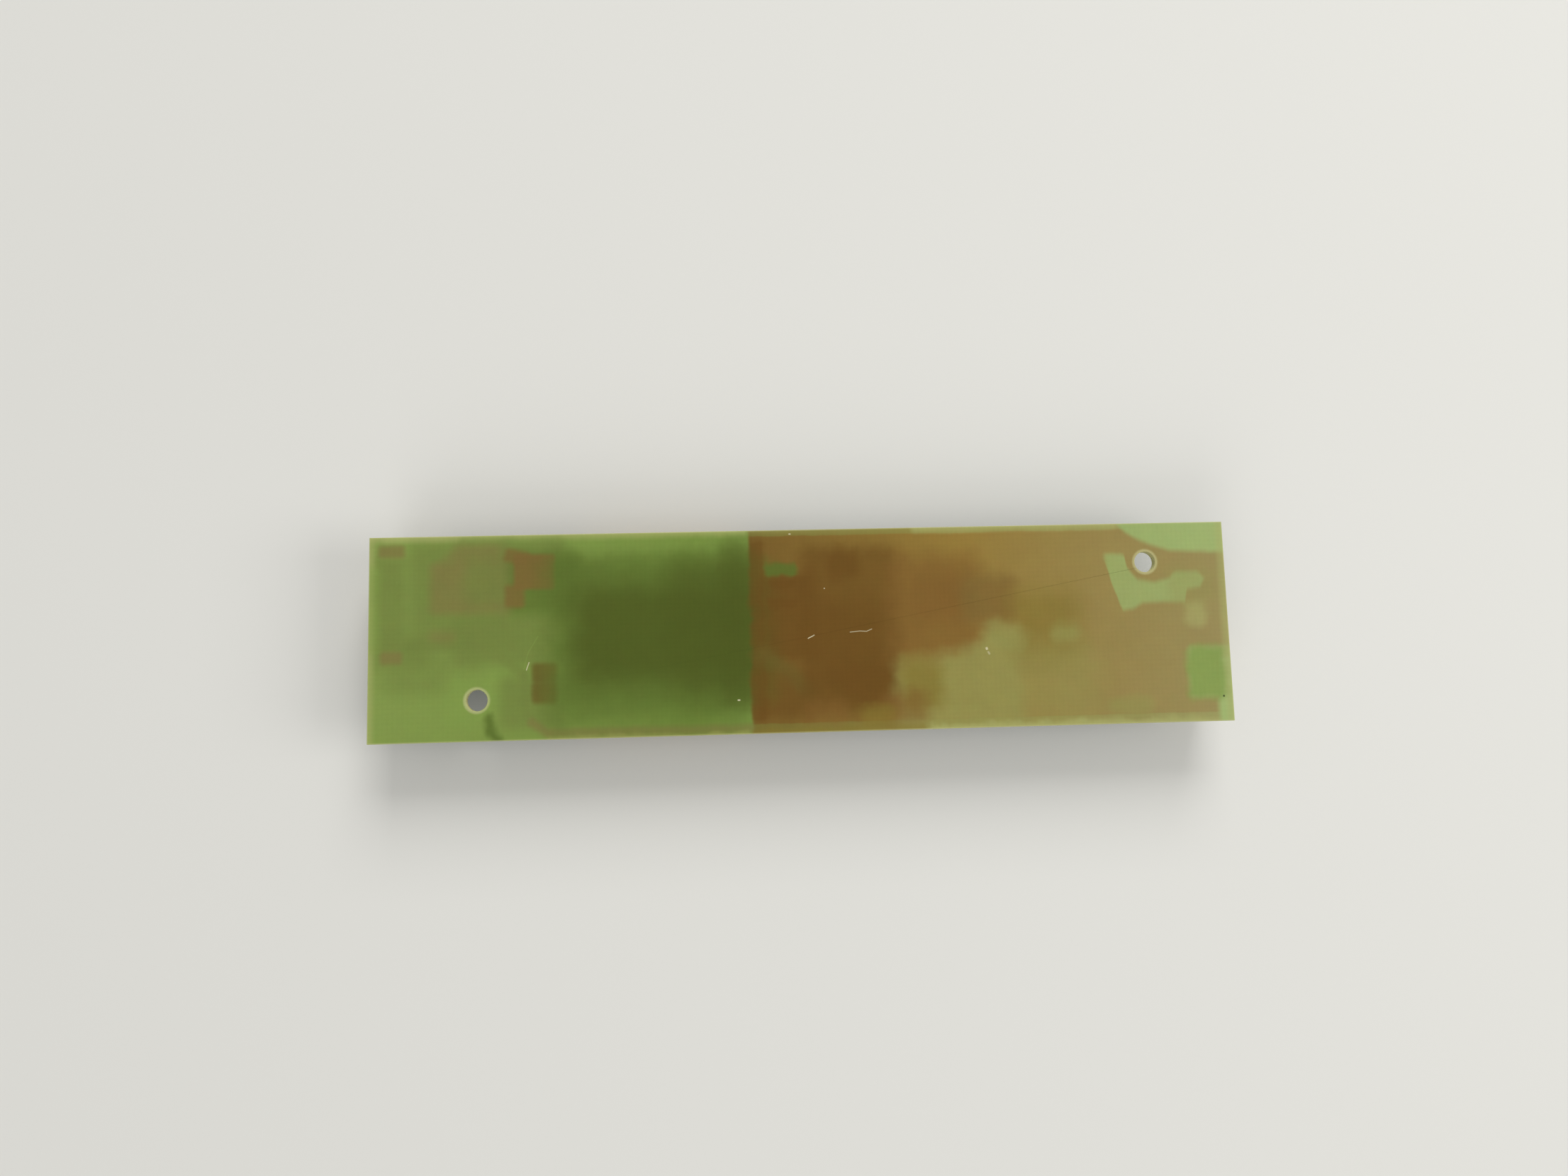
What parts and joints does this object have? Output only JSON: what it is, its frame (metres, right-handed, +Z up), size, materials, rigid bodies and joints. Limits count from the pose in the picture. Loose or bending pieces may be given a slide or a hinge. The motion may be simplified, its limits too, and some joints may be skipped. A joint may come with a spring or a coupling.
{
  "type": "lcd inverter board",
  "caption": "Narrow backlight inverter board lying component side down: bare laminate back with mounting holes, transformer, choke, chips and end connectors beneath.",
  "frame": {"origin": "on the bench, under the middle of the board", "axes": "+X along the board towards the supply connector, +Y across it, +Z up out of the bare back face"},
  "size_m": [0.098, 0.023, 0.0072],
  "materials": {
    "laminate": "glass-epoxy laminate, pale yellow-green, slightly translucent",
    "foil": "copper foil under lacquer",
    "mask": "green lacquer",
    "solder": "tin solder",
    "ivory": "moulded nylon",
    "contact": "tin-plated bronze",
    "bobbin": "moulded black phenolic",
    "ferrite": "ground ferrite",
    "tape": "polyester tape",
    "spacer": "insulating paper",
    "wire": "enamelled copper wire",
    "ceramic_cap": "fired ceramic",
    "film_cap": "resin-dipped film stack",
    "fuse": "white ceramic",
    "alumina": "white alumina",
    "overcoat": "black glaze",
    "epoxy": "moulded black epoxy",
    "can": "drawn and sleeved",
    "rubber": "moulded",
    "roll": "wound foil and paper"
  },
  "bodies": {
    "root": {"laminate": "laminate", "ground_foil": "foil", "pad_foil": "foil", "high_voltage_foil": "foil", "solder_mask": "mask", "solder_coats": "solder", "output_housing": "ivory", "output_contacts": "contact", "output_tabs": "contact", "ballast_body": "ceramic_cap", "ballast_ends": "solder", "transformer_bobbin": "bobbin", "core_half_left": "ferrite", "core_half_right": "ferrite", "core_spacer": "spacer", "core_tape": "tape", "primary_winding": "wire", "secondary_winding": "wire", "primary_pins": "contact", "secondary_pins": "contact", "choke_drum": "ferrite", "choke_winding": "wire", "choke_base": "bobbin", "choke_clips": "contact", "film_body": "film_cap", "film_ends": "solder", "switch_body": "epoxy", "switch_leads": "contact", "regulator_body": "epoxy", "regulator_leads": "contact", "control_body": "epoxy", "control_leads": "contact", "diode_body": "epoxy", "diode_leads": "contact", "can_shell": "can", "can_roll": "roll", "can_bung": "rubber", "can_base": "bobbin", "can_leads": "contact", "fuse_body": "fuse", "fuse_ends": "solder", "bulk_bodies": "ceramic_cap", "bulk_ends": "solder", "resistor_bodies": "alumina", "resistor_ends": "solder", "resistor_coats": "overcoat", "ceramic_bodies": "ceramic_cap", "ceramic_ends": "solder", "small_diode_bodies": "epoxy", "small_diode_leads": "contact", "input_housing": "ivory", "input_contacts": "contact", "input_tabs": "contact"}
  },
  "joints": []
}
